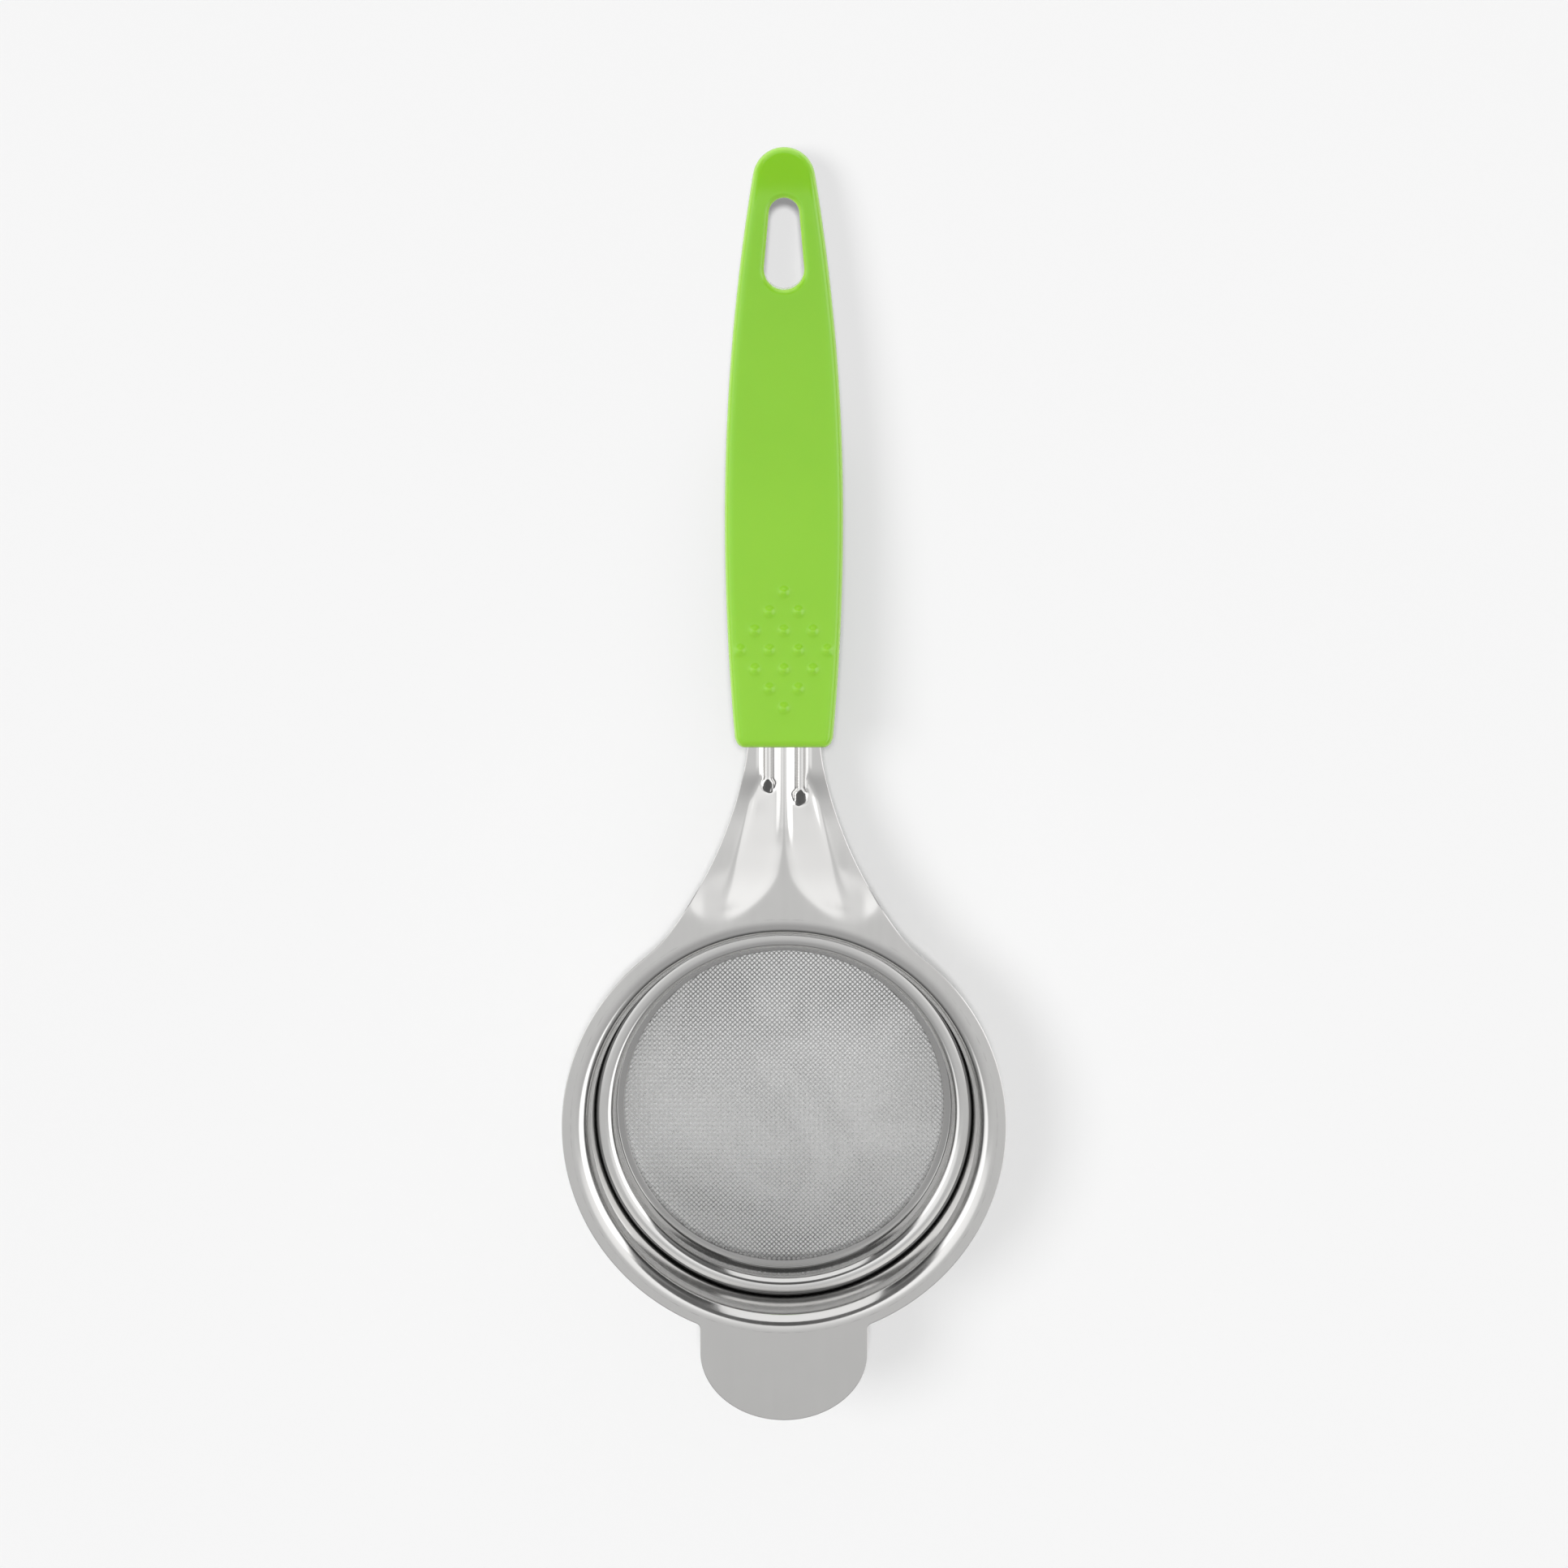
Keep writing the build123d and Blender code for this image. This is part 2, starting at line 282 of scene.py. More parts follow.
# ---- rounded section of a bent sheet ------------------------------------------------------------
def bent_path(points, radii, steps=12):
    """Path with rounded corners: points and unit normals to its left."""
    pts = [np.array(p, float) for p in points]
    path = []
    for i, p in enumerate(pts):
        if i in (0, len(pts) - 1):
            d = pts[1] - pts[0] if i == 0 else pts[-1] - pts[-2]
            d /= np.linalg.norm(d)
            path.append((p, np.array([-d[1], d[0]])))
            continue
        a = (p - pts[i - 1]) / np.linalg.norm(p - pts[i - 1])
        b = (pts[i + 1] - p) / np.linalg.norm(pts[i + 1] - p)
        turn = math.atan2(a[0] * b[1] - a[1] * b[0], a @ b)
        r = radii[i - 1]
        back = r * math.tan(abs(turn) / 2)
        side = 1 if turn > 0 else -1
        start = p - a * back
        centre = start + side * r * np.array([-a[1], a[0]])
        for k in range(steps + 1):
            w = turn * k / steps
            c, s = math.cos(w), math.sin(w)
            n = np.array([-a[1] * c - a[0] * s, -a[1] * s + a[0] * c])
            path.append((centre - side * r * n, n))
    return path


def rounded_end(p, n, t, edge, outward):
    """Points round the cut end of a sheet, from its upper to its lower face."""
    out = []
    for k in range(EDGE_STEPS + 1):
        w = math.pi / 2 * k / EDGE_STEPS
        out.append(p + outward * edge * (math.sin(w) - 1) + n * edge * (1 - math.cos(w)))
    for k in range(EDGE_STEPS + 1):
        w = math.pi / 2 * k / EDGE_STEPS
        out.append(p + outward * edge * (math.cos(w) - 1) + n * (t - edge + edge * math.sin(w)))
    return out


def sheet_section(points, radii, t, edge, open_start=False):
    """Closed section of a bent sheet of thickness t, or one left open at its start."""
    path = bent_path(points, radii)
    upper = [p for p, n in path]
    lower = [p + t * n for p, n in path]
    d = path[-1][0] - path[-2][0]
    d /= np.linalg.norm(d)
    far = rounded_end(path[-1][0], path[-1][1], t, edge, d)
    if open_start:
        return upper[:-1] + far + lower[:-1][::-1]
    d0 = path[0][0] - path[1][0]
    d0 /= np.linalg.norm(d0)
    near = rounded_end(path[0][0], path[0][1], t, edge, d0)
    return upper[1:-1] + far + lower[1:-1][::-1] + near[::-1]


def turned(builder, section, closed, loops=None):
    """Revolves a section round the cup's axis. Loops given stand for its first and last ring."""
    angle = np.radians(np.arange(SEGMENTS) * 360 / SEGMENTS)
    rings = []
    for i, (r, z) in enumerate(section):
        if loops and i == 0:
            rings.append(loops[0])
        elif loops and i == len(section) - 1:
            rings.append(loops[1])
        else:
            rings.append(builder.add([(r * math.cos(a), r * math.sin(a), z) for a in angle]))
    for a, b in zip(rings, rings[1:]):
        builder.band(a, b)
    if closed:
        builder.band(rings[-1], rings[0])


# ---- relief of the neck -------------------------------------------------------------------------
# distance from the cup's axis, then (across, height) of: crest, crest's edge, foot of its flank,
# outer edge of the lobe, start and end of the outer face, beyond it. Heights are from the plate's top.
RELIEF = [
    (130.0, (0, 0.25), (0.35, 0.25), (1.50, -0.42), (3.65, -0.98), (4.50, -0.47), (6.2, -0.47), (9, -0.47)),
    (64.3, (0, 0.25), (0.35, 0.25), (1.50, -0.42), (3.65, -0.98), (4.50, -0.47), (6.2, -0.47), (9, -0.47)),
    (62.9, (0, 0.25), (0.35, 0.25), (1.50, -0.40), (4.10, -0.80), (5.00, -0.86), (6.8, -0.80), (10, -0.70)),
    (60.5, (0, 0.25), (0.35, 0.24), (1.50, -0.40), (4.70, -0.80), (5.80, -1.30), (8.2, -1.06), (11, -0.85)),
    (57.2, (0, 0.22), (0.40, 0.21), (1.60, -0.38), (5.50, -0.95), (6.50, -1.38), (9.3, -1.06), (12, -0.85)),
    (51.4, (0, 0.14), (0.65, 0.12), (1.95, -0.36), (7.00, -1.08), (7.80, -1.32), (11.5, -0.92), (14, -0.72)),
    (46.4, (0, 0.03), (1.60, 0.02), (3.0, -0.34), (8.3, -1.15), (9.1, -1.27), (13.2, -0.84), (15.2, -0.66)),
    (44.1, (0, 0.00), (2.90, 0.00), (4.2, -0.32), (9.1, -1.05), (9.9, -1.10), (14.2, -0.76), (16.0, -0.60)),
    (41.9, (0, 0.00), (4.90, 0.00), (6.2, -0.28), (10.0, -0.78), (10.9, -0.80), (14.9, -0.62), (17, -0.30)),
    (40.3, (0, 0.00), (6.80, 0.00), (7.90, -0.22), (10.3, -0.46), (11.3, -0.47), (14.8, -0.36), (16.8, 0.0)),
    (39.0, (0, 0.00), (8.60, 0.00), (9.40, -0.08), (10.9, -0.16), (12.0, -0.16), (13.8, -0.12), (15.6, 0.0)),
    (38.1, (0, 0.00), (9.50, 0.00), (10.5, 0.00), (11.5, 0.00), (12.5, 0.00), (13.6, 0.00), (14.6, 0.0)),
    (20.0, (0, 0.00), (9.50, 0.00), (10.5, 0.00), (11.5, 0.00), (12.5, 0.00), (13.6, 0.00), (14.6, 0.0)),
]
GROOVE_LEVEL = -1.45       # floor of the two grooves
GROOVE_SLOPE = 1.75        # of their walls
GROOVE_HALF = 0.45         # half the width of their floor
GROOVE_OPENING = 5         # how fast a groove widens at its end
NO_CUT = 9                 # height above all relief, where there is no groove
# side, centre, end, length of the ramp at its end, half width there, height the ramp reaches
GROOVES = ((-1, 2.85, 61.2, 2.4, 0.85, -0.6), (1, 2.95, 58.9, 2.9, 1.0, -0.62))
GRID = 0.1                 # step of the height field
GRID_Y0 = 34.0
GRID_Y1 = 126.0
GRID_X1 = 22.0
GRID_MARGIN = 1.0          # flat stretch at the grid's start
# widths of the blurs that round the relief: guide curves, lobes near the cup, neck, and all of it
GUIDE_BLUR = 0.9
LOBE_BLUR = 0.62
NECK_BLUR = 0.24
LAST_BLUR = 0.12
BLUR_CHANGE = 47.0         # where the lobes' blur starts to give way to the neck's
BLUR_OVER = 8.0


def bell(sigma):
    """Weights of a Gaussian blur on the grid, and how many cells it reaches."""
    reach = int(3 * sigma / GRID) + 1
    k = np.exp(-0.5 * (np.arange(-reach, reach + 1) * GRID / sigma) ** 2)
    return reach, k / k.sum()


def blur(field, sigma):
    """The height field, blurred both ways."""
    reach, k = bell(sigma)
    for axis in (0, 1):
        width = [(0, 0), (0, 0)]
        width[axis] = (reach, reach)
        padded = np.pad(field, width, mode="edge")
        field = np.apply_along_axis(lambda v: np.convolve(v, k, mode="valid"), axis, padded)
    return field


def guide(ys, stations, values, sigma):
    """One guide curve of the relief along the neck, with its corners rounded."""
    reach, k = bell(sigma)
    return np.convolve(np.pad(np.interp(ys, stations, values), reach, mode="edge"), k, mode="valid")


def relief_field():
    """Height of the plate's top face over a grid of the neck, both sides."""
    ys = np.arange(GRID_Y0, GRID_Y1 + GRID / 2, GRID)
    xs = np.arange(-GRID_X1, GRID_X1 + GRID / 2, GRID)
    rows = sorted(RELIEF, key=lambda r: r[0])
    stations = [r[0] for r in rows]
    curves = range(1, len(rows[0]))
    x = np.array([guide(ys, stations, [r[k][0] for r in rows], GUIDE_BLUR) for k in curves])
    h = np.array([guide(ys, stations, [r[k][1] for r in rows], GUIDE_BLUR) for k in curves])
    field = np.array([np.interp(np.abs(xs), x[:, i], h[:, i]) for i in range(len(ys))])
    gx, gy = np.meshgrid(xs, ys)
    share = np.clip((gy - BLUR_CHANGE) / BLUR_OVER, 0, 1)
    field = blur(field, LOBE_BLUR) * (1 - share) + blur(field, NECK_BLUR) * share
    for side, centre, end, ramp, half, reach in GROOVES:
        up = np.clip(1 - (gy - end) / ramp, 0, 1)
        floor = GROOVE_LEVEL + (reach - GROOVE_LEVEL) * up
        tip = np.clip((gy - end) / half, 0, 1)
        opening = np.minimum(GROOVE_OPENING * up, 1)
        wide = (GROOVE_HALF + (half - GROOVE_HALF) * opening) * np.sqrt(1 - (1 - tip) ** 2)
        cut = floor + GROOVE_SLOPE * np.maximum(np.abs(gx - side * centre) - wide, 0)
        field = np.minimum(field, np.where(gy > end, cut, NO_CUT))
    return blur(field, LAST_BLUR)


HEIGHTS = relief_field()
LAST_CELL = 1.001          # keeps a place just inside the grid's last cell


def relief(x, y):
    """Height above the plate's plane at plan points."""
    x = np.asarray(x, float)
    y = np.asarray(y, float)
    i = np.clip((y - GRID_Y0) / GRID, 0, HEIGHTS.shape[0] - LAST_CELL)
    j = np.clip((x + GRID_X1) / GRID, 0, HEIGHTS.shape[1] - LAST_CELL)
    i0 = i.astype(int)
    j0 = j.astype(int)
    u = i - i0
    v = j - j0
    h = HEIGHTS
    value = (
        h[i0, j0] * (1 - u) * (1 - v) + h[i0 + 1, j0] * u * (1 - v)
        + h[i0, j0 + 1] * (1 - u) * v + h[i0 + 1, j0 + 1] * u * v
    )
    return np.where(y < GRID_Y0 + GRID_MARGIN, 0.0, value)


# ---- plan of the rim pressing -------------------------------------------------------------------
TAB_POINTS = 45
TAB_STEP = 0.6
TAB_CORNER_POINTS = 9
RIM_POINTS = 170
FLARE_STEP = 0.45
TANG_SIDE_STEP = 1.5
TANG_END_STEP = 1.0


def rim_outline():
    """Counterclockwise outline of the rim, tab, neck and tang."""
    straight = TAB_REACH - TAB_RISE
    right = []
    for k in range(TAB_POINTS):
        t = -math.pi / 2 + math.pi / 2 * k / TAB_POINTS
        right.append((TAB_HALF * math.cos(t), -straight + TAB_RISE * math.sin(t)))
    cx = TAB_HALF + TAB_CORNER
    cy = -math.sqrt((RIM_RADIUS + TAB_CORNER) ** 2 - cx**2)
    right += line((TAB_HALF, -straight), (TAB_HALF, cy), TAB_STEP)
    towards = math.degrees(math.atan2(-cy, -cx))
    right += arc((cx, cy), TAB_CORNER, 180, towards, TAB_CORNER_POINTS)[:-1]
    start = math.degrees(math.atan2(cy, cx))
    meet_angle = 90 - math.degrees(NECK_SPREAD)
    right += arc((0, 0), RIM_RADIUS, start, meet_angle, RIM_POINTS)[:-1]
    meeting = (RIM_RADIUS * math.sin(NECK_SPREAD), RIM_RADIUS * math.cos(NECK_SPREAD))
    points = [(NECK_HALF, HANDLE_START)]
    for along, across in NECK_FLARE:
        points.append((
            NECK_HALF + across * (meeting[0] - NECK_HALF),
            HANDLE_START - along * (HANDLE_START - meeting[1]),
        ))
    points.append(meeting)
    tangent = (math.cos(NECK_SPREAD), -math.sin(NECK_SPREAD))
    flare = spline(points, (NECK_SLOPE, -1.0), tangent, FLARE_STEP)
    right += flare[::-1][:-1]
    right += line((NECK_HALF, HANDLE_START), (NECK_HALF, TANG_END), TANG_SIDE_STEP)
    right += line((NECK_HALF, TANG_END), (0, TANG_END), TANG_END_STEP)
    left = [(-x, y) for x, y in right[::-1]]
    return [*right, (0.0, TANG_END), *left][:-1]


ROW_SHARE = 0.866          # distance between rows, as a share of the distance between points


def hexagonal(x0, x1, y0, y1, step):
    """Evenly spread points over a rectangle, each row shifted by half a step."""
    out = []
    row = 0
    y = y0
    while y <= y1:
        x = x0 + (step / 2 if row % 2 else 0)
        while x <= x1:
            out.append((x, y))
            x += step
        y += step * ROW_SHARE
        row += 1
    return np.array(out)


def ring_points(centre, radius, angles):
    """Points of a circle in plan."""
    return [(centre[0] + radius * math.cos(a), centre[1] + radius * math.sin(a)) for a in angles]


# extra loops of edges just inside the plate keep its triangles even where it bends down
MOUTH_GUARD = 0.5
EDGE_GUARD = 0.12
POINT_GAP = 0.2            # least distance from a loop to a free point
CLEAR_OF_MOUTH = 0.9
# where free points lie: half width, then from and to along the part, and their step
NECK_POINTS = (19, 36.5, 74.0, 0.3)
RIM_FREE_POINTS = (40, -56, 37.5, 1.6)
TANG_POINTS_START = 75.0
TANG_STEP_ALONG = 2.0
TANG_STEP_ACROSS = 0.3


def free_points():
    """Points that fill the plan of the rim pressing, finest on the neck."""
    grids = []
    for half, start, end, step in (NECK_POINTS, RIM_FREE_POINTS):
        grids.append(hexagonal(-half, half, start, end, step))
    across = np.arange(-TANG_HALF, TANG_HALF + 0.01, TANG_STEP_ACROSS)
    along = np.arange(TANG_POINTS_START, TANG_END, TANG_STEP_ALONG)
    grids.append(np.array([(x, y) for y in along for x in across]))
    return np.concatenate(grids)


def build_rim(material):
    """The rim pressing: plate with relief, its cut edges, and the cup's upper wall with the seat."""
    outline = rim_outline()
    angle = np.radians(np.arange(SEGMENTS) * 360 / SEGMENTS)
    mouth = ring_points((0, 0), MOUTH, angle)
    guard = ring_points((0, 0), MOUTH + MOUTH_GUARD, angle)
    hole_centre = (0.0, TANG_END - TANG_HOLE_INSET)
    hole_angle = np.radians(np.arange(0, 360, HOLE_STEP))
    hole = ring_points(hole_centre, TANG_HOLE + EDGE, hole_angle)
    edge_loop = [tuple(p) for p in inset(outline, EDGE)]
    edge_guard = [tuple(p) for p in inset(outline, EDGE + EDGE_GUARD)]
    points = free_points()
    radius = np.hypot(points[:, 0], points[:, 1])
    points = points[radius > MOUTH + CLEAR_OF_MOUTH]
    points = points[inside(edge_guard, points)]
    points = points[~inside(hole, points)]
    points = points[far_from([edge_guard, guard, hole], points, POINT_GAP)]

    def keep(c):
        return inside(edge_loop, c) & (np.hypot(c[:, 0], c[:, 1]) > MOUTH - 0.02) & ~inside(hole, c)

    loops = [edge_loop, mouth, hole]
    coords, tris = triangulate(loops, [edge_guard, guard], [tuple(p) for p in points], keep)
    plan = np.array(coords)
    rise = relief(plan[:, 0], plan[:, 1])
    b = Builder()
    top = b.add([(x, y, PLATE + h) for (x, y), h in zip(plan, rise)])
    under = b.add([(x, y, h) for (x, y), h in zip(plan, rise)])
    for i, j, k in tris:
        b.faces.append((top[i], top[j], top[k]))
        b.faces.append((under[k], under[j], under[i]))
    n_edge, n_mouth, n_hole = len(edge_loop), len(mouth), len(hole)
    edge_ids = list(range(n_edge))
    mouth_ids = list(range(n_edge, n_edge + n_mouth))
    hole_ids = list(range(n_edge + n_mouth, n_edge + n_mouth + n_hole))

    def wall(ids, outer):
        """Cut edge of the sheet along a loop, rounded above and below."""
        previous = [top[i] for i in ids]
        base = plan[ids]
        outer = np.asarray(outer)
        h = rise[ids]
        for k in range(1, RIM_EDGE_STEPS + 1):
            w = math.pi / 2 * k / RIM_EDGE_STEPS
            ring = base + (outer - base) * math.sin(w)
            now = b.add([(x, y, PLATE + q - EDGE * (1 - math.cos(w))) for (x, y), q in zip(ring, h)])
            b.band(previous, now)
            previous = now
        for k in range(RIM_EDGE_STEPS):
            w = math.pi / 2 * k / RIM_EDGE_STEPS
            ring = base + (outer - base) * math.cos(w)
            now = b.add([(x, y, q + EDGE * (1 - math.sin(w))) for (x, y), q in zip(ring, h)])
            b.band(previous, now)
            previous = now
        b.band(previous, [under[i] for i in ids])

    wall(edge_ids, outline)
    wall(hole_ids, ring_points(hole_centre, TANG_HOLE, hole_angle))
    section = sheet_section(CUP_PATH, [CUP_BEND, SEAT_BEND], PLATE, EDGE, open_start=True)
    turned(b, section, False, ([top[i] for i in mouth_ids], [under[i] for i in mouth_ids]))
    return b.make("pressed_rim", material, "rim_frame")


def build_ring(material):
    """The drawn ring: ledge, lower wall and the lip over the mesh."""
    b = Builder()
    turned(b, sheet_section(RING_PATH, [LEDGE_BEND, LIP_BEND], THIN, THIN_EDGE), True)
    return b.make("drawn_ring", material, "sieve_ring")


def build_band(material):
    """The band that clamps the mesh from below and is the foot."""
    b = Builder()
    turned(b, sheet_section(BAND_PATH, [BAND_BEND], THIN, THIN_EDGE), True)
    return b.make("clamp_band", material, "mesh_band")


# ---- woven wire ---------------------------------------------------------------------------------
WIRE = 0.1                 # radius
PITCH = 0.635
WEAVE = 0.105              # how far a wire swings above and below the cloth's middle
MESH_RADIUS = 30.9
MESH_MIDDLE = (warp_top + weft_bottom) / 2
WIRE_SIDES = 6
WIRE_TURN = 30             # degrees from the cloth's plane to a wire's first corner
CALM_RADIUS = 29.0         # the cloth is flat outside this, where it is clamped
CALM_OVER = 4.0
SWELL = 0.09               # heights of the cloth's two slow waves, and its sideways sway
RIPPLE = 0.05
DRIFT = 0.06


def sway(x, y):
    """Slow waviness of the stretched cloth: sideways and up and down."""
    calm = np.clip((CALM_RADIUS - np.hypot(x, y)) / CALM_OVER, 0, 1)
    up = SWELL * np.sin(x * 0.16 + 0.7) * np.cos(y * 0.13 - 0.4) + RIPPLE * np.sin(x * 0.31 - y * 0.27)
    side = DRIFT * np.sin(y * 0.21 + 1.1) * np.cos(x * 0.17)
    return side * calm, up * calm


def build_wires(name, material, node, turn, phase):
    """One direction of the weave. Neighbouring wires go over and under in turn, from the phase on."""
    u = np.array([math.cos(turn), math.sin(turn)])
    v = np.array([-math.sin(turn), math.cos(turn)])
    count = int(MESH_RADIUS / PITCH)
    b = Builder()
    angles = np.radians(np.arange(WIRE_SIDES) * 360 / WIRE_SIDES + WIRE_TURN)
    for number in range(-count, count + 1):
        across = number * PITCH
        half = math.sqrt(MESH_RADIUS**2 - across**2)
        k = int(half / (PITCH / 2))
        s = np.arange(-k, k + 1) * PITCH / 2
        if len(s) < 3:
            continue
        flat = s[:, None] * u + across * v
        side, up = sway(flat[:, 0], flat[:, 1])
        sign = 1 if (number + phase) % 2 == 0 else -1
        z = MESH_MIDDLE + sign * WEAVE * np.cos(math.pi * s / PITCH) + up
        centre = flat + side[:, None] * v
        rings = []
        for (cx, cy), cz in zip(centre, z):
            rings.append([
                (cx + WIRE * math.cos(a) * v[0], cy + WIRE * math.cos(a) * v[1], cz + WIRE * math.sin(a))
                for a in angles
            ])
        ids = [b.add(r) for r in rings]
        for p, q in zip(ids, ids[1:]):
            b.band(p, q)
        b.faces.append(tuple(ids[0][::-1]))
        b.faces.append(tuple(ids[-1]))
    return b.make(name, material, node, sharp=80)


# ---- handle -------------------------------------------------------------------------------------
WIDEST = HANDLE_START + 39.5
HALF_WIDTH = handle_high[0]
FRONT_RADIUS = 430.0       # of its sides, before and behind the widest place
BACK_RADIUS = 360.0
CORNER = 1.6
LEAST_CORNER = 0.12        # radius left of a front corner where the outline is moved in
EDGE_ROUND = 1.5
TOP = 5.0
TIP_FALL = 13.0            # length over which the top falls towards the tip
TIP_DROP = 1.8
TIP_HELD = 4.0             # last stretch, over which the crown no longer narrows
CROWN = 0.14               # how much lower the top is at its sides
BELLY = ((HANDLE_START - 2.0, -5.0), (WIDEST, -6.2), (HANDLE_END + 2.0, -3.8))
SLOT_WIDE = (HANDLE_START + 83.15, 3.45)
SLOT_NARROW = (HANDLE_START + 92.6, 2.6)
SLOT_ROUND = 0.95
# grip dots in a diamond
DOT_RADIUS = 1.35
DOT_HEIGHT = 0.4
DOT_ROWS = 3               # on each side of the middle row
DOTS_MIDDLE = HANDLE_START + 17.4
DOT_ACROSS = 5.08
DOT_ALONG = 3.4
# rings of points on a dot: share of its radius, and how many points
DOT_RINGS = ((0.12, 8), (0.25, 14), (0.4, 20), (0.55, 26), (0.7, 30), (0.85, 32), (1.0, 34))
DOT_TURN = 4               # degrees to a ring's first point
# how finely the handle is drawn
FRONT_POINTS = 8
CORNER_POINTS = 8
SIDE_POINTS = 90
BACK_POINTS = 70
NOSE_POINTS = 22
SLOT_POINTS = (25, 33)     # round the slot's narrow and its wide end
SLOT_SIDE_POINTS = 12
ROUND_STEPS = 9
FACE_HALF = 8.2            # plan points between the edges: half width, distance from the ends, step
FACE_INSET = 2.6
FACE_STEP = 1.3
HANDLE_GUARD = 0.25        # loops of edges kept just inside the rounded edges
SLOT_GUARD = 0.2
PLAIN_GAP = 0.35
DOTTED_GAP = 0.12
DOT_CLEAR = 0.3
SIDE_SHARES = (0.33, 0.67)
HANDLE_SHARP = 32          # degrees


def nose():
    """Radius of the tip's arc, and where the side's arc meets it."""
    reach = HANDLE_END - WIDEST
    centre = HALF_WIDTH - BACK_RADIUS
    radius = (BACK_RADIUS**2 - centre**2 - reach**2) / (2 * (BACK_RADIUS - reach))
    angle = math.degrees(math.atan2(reach - radius, -centre))
    return radius, angle


def handle_loop(d):
    """Outline of the handle moved in by d, always with the same number of points."""
    nose_radius, nose_angle = nose()
    right = []
    start_x = HALF_WIDTH - FRONT_RADIUS + math.sqrt(FRONT_RADIUS**2 - (HANDLE_START - WIDEST) ** 2)
    r = max(CORNER - d, LEAST_CORNER)
    corner = (start_x - d - r, HANDLE_START + d + r)
    for k in range(FRONT_POINTS):
        right.append((corner[0] * k / FRONT_POINTS, HANDLE_START + d))
    right += arc(corner, r, -90, 0, CORNER_POINTS)[:-1]
    low = corner[1]
    for k in range(SIDE_POINTS):
        y = low + (WIDEST - low) * k / SIDE_POINTS
        right.append((HALF_WIDTH - FRONT_RADIUS + math.sqrt((FRONT_RADIUS - d) ** 2 - (y - WIDEST) ** 2), y))
    centre = (HALF_WIDTH - BACK_RADIUS, WIDEST)
    right += arc(centre, BACK_RADIUS - d, 0, nose_angle, BACK_POINTS)[:-1]
    right += arc((0, HANDLE_END - nose_radius), nose_radius - d, nose_angle, 90, NOSE_POINTS)[:-1]
    left = [(-x, y) for x, y in right[::-1]]
    return [*right, (0.0, HANDLE_END - d), *left[:-1]]


def slot_loop(d):
    """Outline of the slot grown by d: two arcs and the tangents between them."""
    (y0, r0), (y1, r1) = SLOT_WIDE, SLOT_NARROW
    tilt = math.degrees(math.asin((r0 - r1) / (y1 - y0)))
    narrow = arc((0, y1), r1 + d, tilt, 180 - tilt, SLOT_POINTS[0])
    wide = arc((0, y0), r0 + d, 180 - tilt, 360 + tilt, SLOT_POINTS[1])

    def side(p, q):
        n = SLOT_SIDE_POINTS
        return [(p[0] + (q[0] - p[0]) * k / n, p[1] + (q[1] - p[1]) * k / n) for k in range(1, n)]

    return [*narrow, *side(narrow[-1], wide[0]), *wide, *side(wide[-1], narrow[0])]


def handle_side(y):
    """Half the handle's width at a place along it."""
    y = np.asarray(y, float)
    radius = np.where(y > WIDEST, BACK_RADIUS, FRONT_RADIUS)
    return HALF_WIDTH - radius + np.sqrt(radius**2 - (y - WIDEST) ** 2)


def handle_top(x, y):
    """Height of the top face without its dots."""
    x = np.asarray(x, float)
    y = np.asarray(y, float)
    fall = HANDLE_END - TIP_FALL
    drop = TIP_DROP * (np.maximum(y - fall, 0) / TIP_FALL) ** 2
    share = np.clip(np.abs(x) / handle_side(np.minimum(y, HANDLE_END - TIP_HELD)), 0, 1)
    return TOP - drop - CROWN * share**3


def handle_bottom(y):
    """Arc of the belly through its three points."""
    (x1, y1), (x2, y2), (x3, y3) = BELLY
    a = np.array([[2 * (x2 - x1), 2 * (y2 - y1)], [2 * (x3 - x1), 2 * (y3 - y1)]])
    c = np.array([x2**2 - x1**2 + y2**2 - y1**2, x3**2 - x1**2 + y3**2 - y1**2])
    cx, cy = np.linalg.solve(a, c)
    r = math.hypot(x1 - cx, y1 - cy)
    return cy - np.sqrt(r * r - (np.asarray(y, float) - cx) ** 2)


def dot_centres():
    """Middles of the grip dots, fewest in the first and the last row."""
    out = []
    for row in range(-DOT_ROWS, DOT_ROWS + 1):
        count = DOT_ROWS + 1 - abs(row)
        for number in range(count):
            out.append(((number - (count - 1) / 2) * DOT_ACROSS, DOTS_MIDDLE + DOT_ALONG * row))
    return out


def bumps(x, y):
    """Rise of the grip dots, which run out softly into the handle's top."""
    rise = np.zeros(np.shape(x))
    for cx, cy in dot_centres():
        share = np.clip(np.hypot(x - cx, y - cy) / DOT_RADIUS, 0, 1)
        rise = rise + DOT_HEIGHT * np.cos(math.pi / 2 * share) ** 2
    return rise


